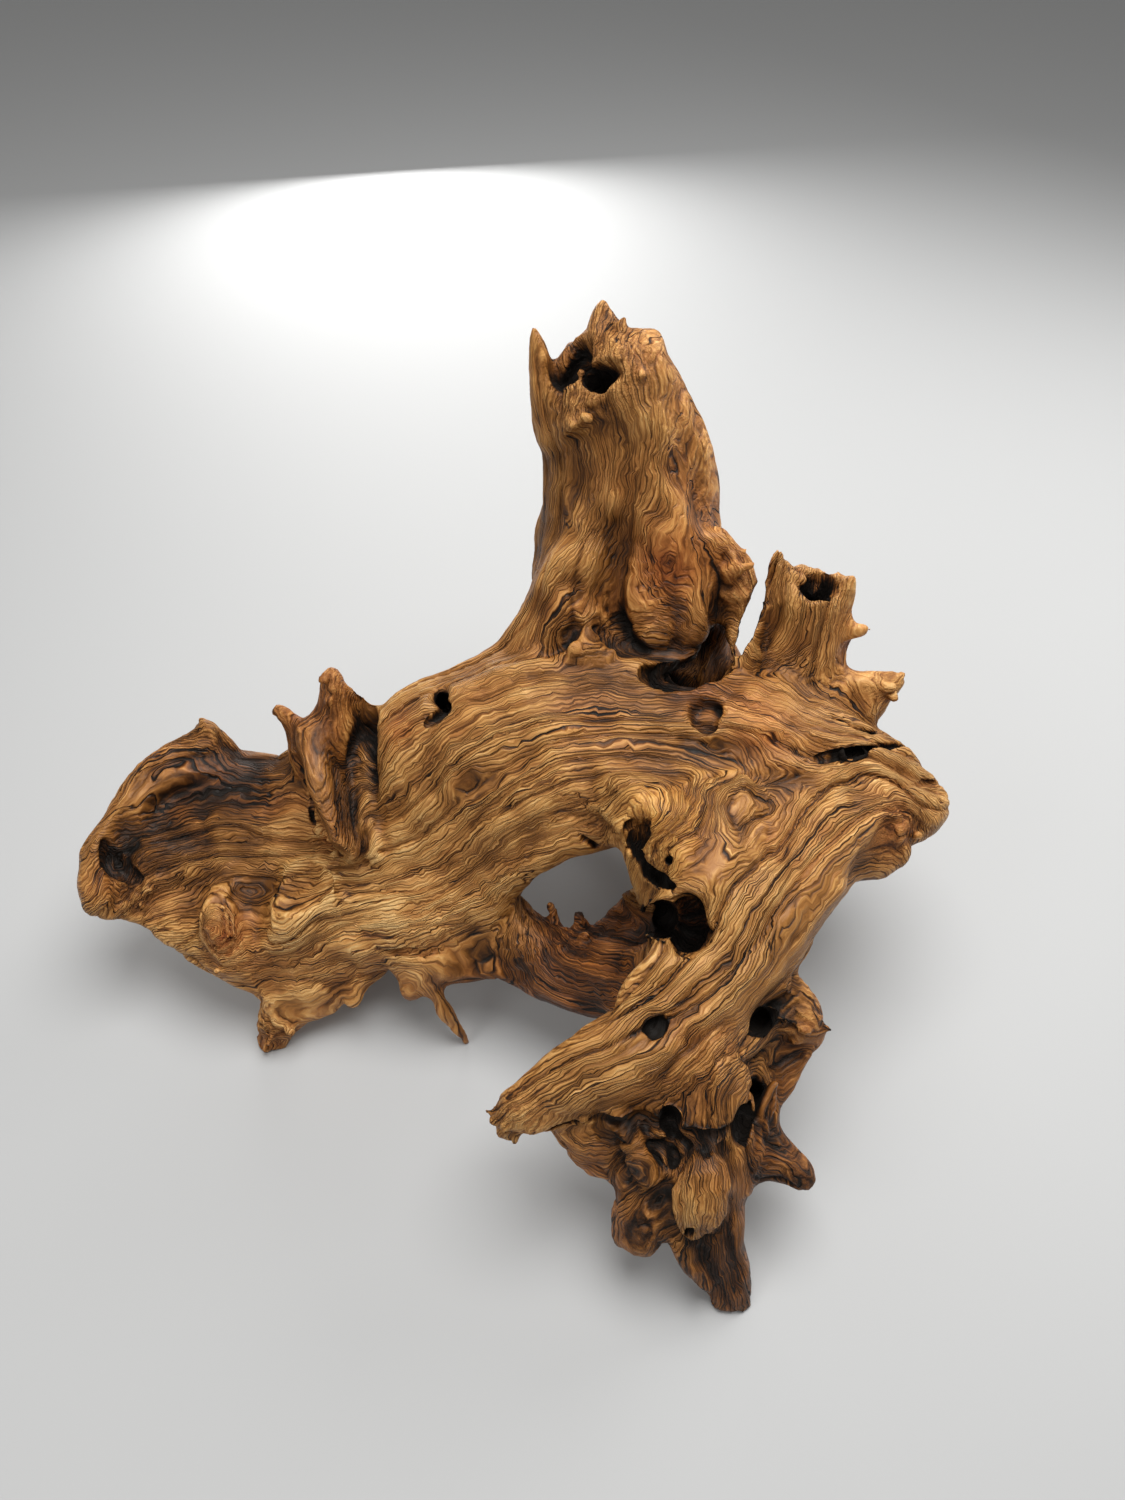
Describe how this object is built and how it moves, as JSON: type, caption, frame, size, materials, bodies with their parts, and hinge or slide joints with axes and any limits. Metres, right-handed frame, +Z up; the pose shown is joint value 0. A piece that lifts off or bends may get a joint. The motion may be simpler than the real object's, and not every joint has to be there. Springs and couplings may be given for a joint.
{
  "type": "dry root",
  "caption": "Dried, cleaned and oiled tree root that stands on its own legs, with a tall broken trunk, a broad grained slab and a twisted front foot.",
  "frame": {"origin": "on the floor, under the middle of the root's bounding box", "axes": "+X along the root's greatest length, to the right seen from the front, +Y to the back, where the trunk stands, +Z up"},
  "size_m": [1.0718, 0.8284, 0.7742],
  "materials": {
    "oiled_wood": "oiled satin, brown with dark grain lines"
  },
  "bodies": {
    "root": {"root": "oiled_wood"}
  },
  "joints": []
}
